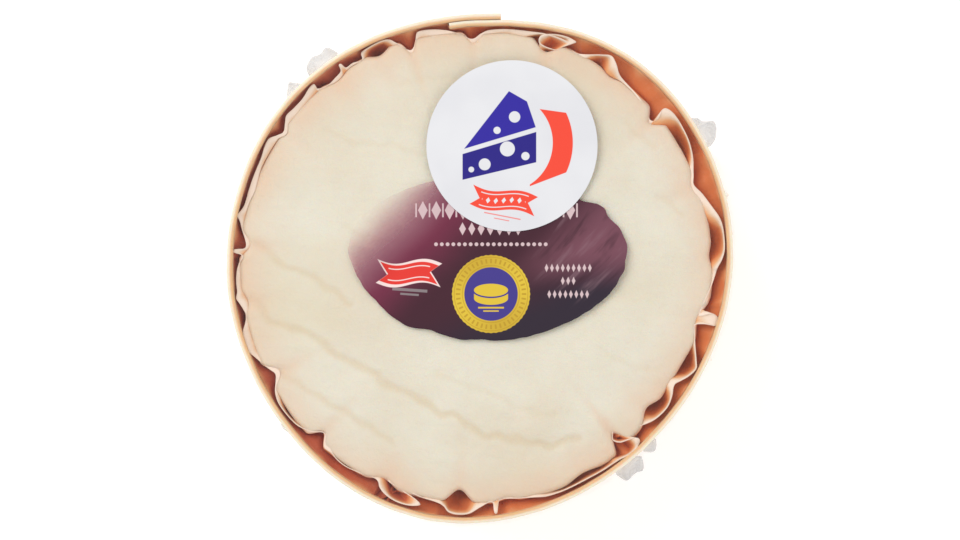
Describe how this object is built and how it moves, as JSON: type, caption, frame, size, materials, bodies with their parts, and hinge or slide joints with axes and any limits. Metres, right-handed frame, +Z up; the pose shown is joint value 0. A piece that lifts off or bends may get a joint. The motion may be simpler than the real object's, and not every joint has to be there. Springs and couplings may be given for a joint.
{
  "type": "boxed soft-ripened cheese wheel",
  "caption": "Small round soft-ripened cheese in a pleated paper cup inside an open stapled poplar-veneer box, overwrapped in clear film with an oval label and a round sticker.",
  "frame": {"origin": "on the table under the middle of the box: the centre of the bottom of the whole object's bounding box", "axes": "+Z up out of the top of the cheese; +X to the right and +Y away from the reader when the printed label reads upright; the hoop's overlap is at +Y"},
  "size_m": [0.101, 0.1018, 0.037],
  "materials": {
    "bloomy_rind": null,
    "cup_paper": "thin white greaseproof paper, tinted warm by the wood behind it",
    "poplar_veneer": "peeled poplar veneer, unvarnished",
    "poplar_board": "sawn poplar, unvarnished",
    "staple_wire": "bright flat steel wire",
    "clear_film": null,
    "oval_print": "purple print that fades to clear at its upper left",
    "sticker_face": "white printed adhesive paper"
  },
  "bodies": {
    "root": {"cheese_wheel": "bloomy_rind", "paper_cup": "cup_paper", "box_hoop": "poplar_veneer", "box_floor": "poplar_board", "hoop_staple_upper": "staple_wire", "hoop_staple_lower": "staple_wire", "floor_staple_1": "staple_wire", "floor_staple_2": "staple_wire", "floor_staple_3": "staple_wire", "floor_staple_4": "staple_wire", "floor_staple_5": "staple_wire", "floor_staple_6": "staple_wire", "film_wrap": "clear_film", "label_print": "oval_print", "round_sticker": "sticker_face"}
  },
  "joints": []
}
